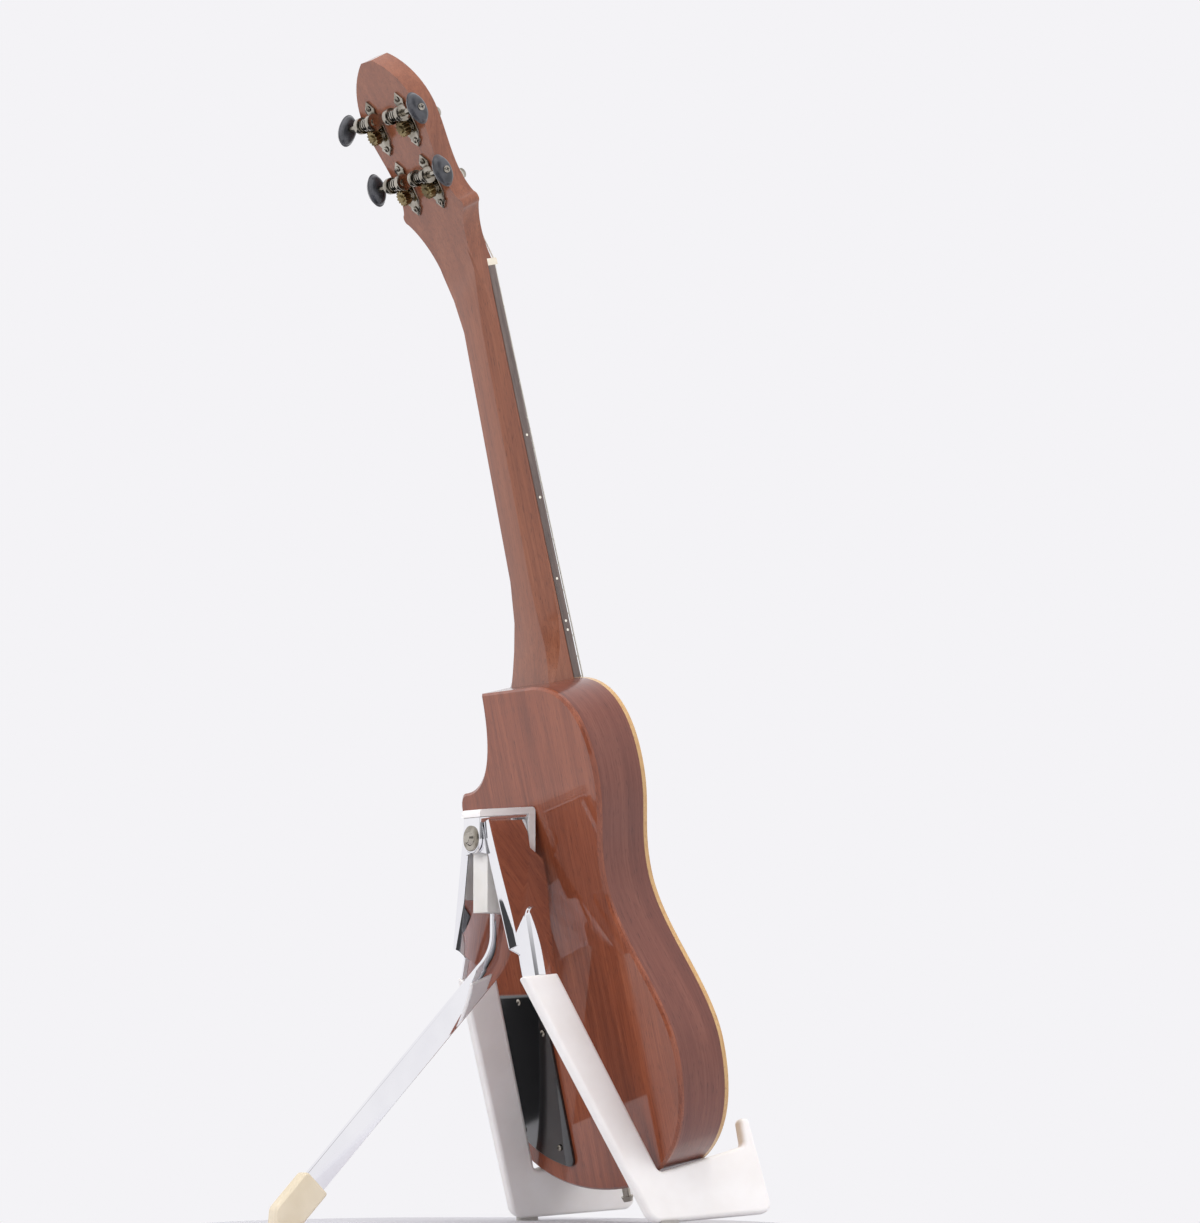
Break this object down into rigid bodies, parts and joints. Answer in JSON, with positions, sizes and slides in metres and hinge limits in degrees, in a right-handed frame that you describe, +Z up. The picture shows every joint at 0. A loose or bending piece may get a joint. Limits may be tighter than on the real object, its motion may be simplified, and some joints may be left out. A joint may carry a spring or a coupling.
{
  "type": "ukulele on folding stand",
  "caption": "Thin-body cutaway tenor ukulele with open-geared tuners, leaning on a compact folding stand with hooked arms and a rear leg.",
  "frame": {"origin": "on the floor, at the middle of the bounding box, on the instrument's centre line", "axes": "+Z up; the soundboard faces -Y and the back and the stand's rear leg face +Y; the cutaway is at +X"},
  "size_m": [0.201, 0.2851, 0.6608],
  "materials": {
    "mahogany_back": "gloss",
    "mahogany_sides": "gloss",
    "mahogany_neck": "satin",
    "soundboard_wood": "gloss",
    "inner_wood": "matte",
    "rosewood": "satin",
    "bone": "satin",
    "nylon_string": "satin",
    "fret_metal": "polished",
    "nickel": "satin",
    "brass_gear": "satin",
    "grey_plastic": "gloss",
    "black_plastic": "gloss",
    "cream_dot": "satin",
    "chrome_sheet": "mirror",
    "ivory_rubber": "matte",
    "cream_rubber": "matte",
    "white_nylon": "satin",
    "pad_rubber": "matte"
  },
  "bodies": {
    "stand_head": {"head_bracket": "chrome_sheet", "head_cushion": "ivory_rubber", "head_rivet": "nickel", "hinge_block": "white_nylon", "hinge_pin": "chrome_sheet"},
    "ukulele": {"soundboard": "soundboard_wood", "rosette": "bone", "sides": "mahogany_sides", "top_lining": "inner_wood", "back_lining": "inner_wood", "back_plate": "mahogany_back", "control_cover": "black_plastic", "neck_block": "inner_wood", "tail_block": "inner_wood", "top_braces": "inner_wood", "back_braces": "inner_wood", "neck": "mahogany_neck", "fingerboard": "rosewood", "side_dots": "cream_dot", "frets": "fret_metal", "nut": "bone", "bridge": "rosewood", "saddle": "bone", "strings": "nylon_string", "end_pin": "nickel", "post_ferrules": "nickel", "lower_treble_tuner_plate": "nickel", "lower_bass_tuner_plate": "nickel", "upper_treble_tuner_plate": "nickel", "upper_bass_tuner_plate": "nickel"},
    "left_leg": {"left_plate": "chrome_sheet", "left_leg_sleeve": "ivory_rubber", "left_foot_pad": "pad_rubber"},
    "right_leg": {"right_plate": "chrome_sheet", "right_leg_sleeve": "ivory_rubber", "right_foot_pad": "pad_rubber"},
    "rear_leg": {"rear_bar": "chrome_sheet", "rear_foot": "cream_rubber"},
    "lower_treble_worm": {"lower_treble_worm_shaft": "nickel", "lower_treble_knob": "grey_plastic"},
    "lower_treble_wheel": {"lower_treble_gear": "brass_gear", "lower_treble_post": "nickel"},
    "lower_bass_worm": {"lower_bass_worm_shaft": "nickel", "lower_bass_knob": "grey_plastic"},
    "lower_bass_wheel": {"lower_bass_gear": "brass_gear", "lower_bass_post": "nickel"},
    "upper_treble_worm": {"upper_treble_worm_shaft": "nickel", "upper_treble_knob": "grey_plastic"},
    "upper_treble_wheel": {"upper_treble_gear": "brass_gear", "upper_treble_post": "nickel"},
    "upper_bass_worm": {"upper_bass_worm_shaft": "nickel", "upper_bass_knob": "grey_plastic"},
    "upper_bass_wheel": {"upper_bass_gear": "brass_gear", "upper_bass_post": "nickel"}
  },
  "joints": [
    {"name": "ukulele_lift", "type": "slide", "parent": "stand_head", "child": "ukulele", "axis": [0, 0.23, 0.9732], "range_m": [0, 0.05]},
    {"name": "left_leg_fold", "type": "hinge", "parent": "stand_head", "child": "left_leg", "pos_m": [0, 0.0083, 0.2173], "axis": [0, 1, 0], "range_deg": [0, 16]},
    {"name": "right_leg_fold", "type": "hinge", "parent": "stand_head", "child": "right_leg", "pos_m": [0, 0.0083, 0.2173], "axis": [0, -1, 0], "range_deg": [0, 16]},
    {"name": "rear_leg_fold", "type": "hinge", "parent": "stand_head", "child": "rear_leg", "pos_m": [0, -0.0067, 0.2], "axis": [-1, 0, 0], "range_deg": [0, 36]},
    {"name": "lower_treble_knob_turn", "type": "hinge", "parent": "ukulele", "child": "lower_treble_worm", "pos_m": [0.0133, 0.05672, 0.5901], "axis": [1, 0, 0], "continuous": true},
    {"name": "lower_treble_post_turn", "type": "hinge", "parent": "ukulele", "child": "lower_treble_wheel", "pos_m": [0.0133, 0.04722, 0.58554], "axis": [0, 0.8746, -0.4848], "continuous": true},
    {"name": "lower_bass_knob_turn", "type": "hinge", "parent": "ukulele", "child": "lower_bass_worm", "pos_m": [-0.0133, 0.05672, 0.5901], "axis": [-1, 0, 0], "continuous": true},
    {"name": "lower_bass_post_turn", "type": "hinge", "parent": "ukulele", "child": "lower_bass_wheel", "pos_m": [-0.0133, 0.04722, 0.58554], "axis": [0, 0.8746, -0.4848], "continuous": true},
    {"name": "upper_treble_knob_turn", "type": "hinge", "parent": "ukulele", "child": "upper_treble_worm", "pos_m": [0.0156, 0.07505, 0.62316], "axis": [1, 0, 0], "continuous": true},
    {"name": "upper_treble_post_turn", "type": "hinge", "parent": "ukulele", "child": "upper_treble_wheel", "pos_m": [0.0156, 0.06554, 0.6186], "axis": [0, 0.8746, -0.4848], "continuous": true},
    {"name": "upper_bass_knob_turn", "type": "hinge", "parent": "ukulele", "child": "upper_bass_worm", "pos_m": [-0.0156, 0.07505, 0.62316], "axis": [-1, 0, 0], "continuous": true},
    {"name": "upper_bass_post_turn", "type": "hinge", "parent": "ukulele", "child": "upper_bass_wheel", "pos_m": [-0.0156, 0.06554, 0.6186], "axis": [0, 0.8746, -0.4848], "continuous": true}
  ],
  "couplings": [
    {"joint": "left_leg_fold", "follows": "ukulele_lift", "rad_per_m": 5.5845},
    {"joint": "right_leg_fold", "follows": "ukulele_lift", "rad_per_m": 5.5845},
    {"joint": "lower_treble_post_turn", "follows": "lower_treble_knob_turn", "ratio": 0.071429},
    {"joint": "lower_bass_post_turn", "follows": "lower_bass_knob_turn", "ratio": 0.071429},
    {"joint": "upper_treble_post_turn", "follows": "upper_treble_knob_turn", "ratio": 0.071429},
    {"joint": "upper_bass_post_turn", "follows": "upper_bass_knob_turn", "ratio": 0.071429}
  ]
}
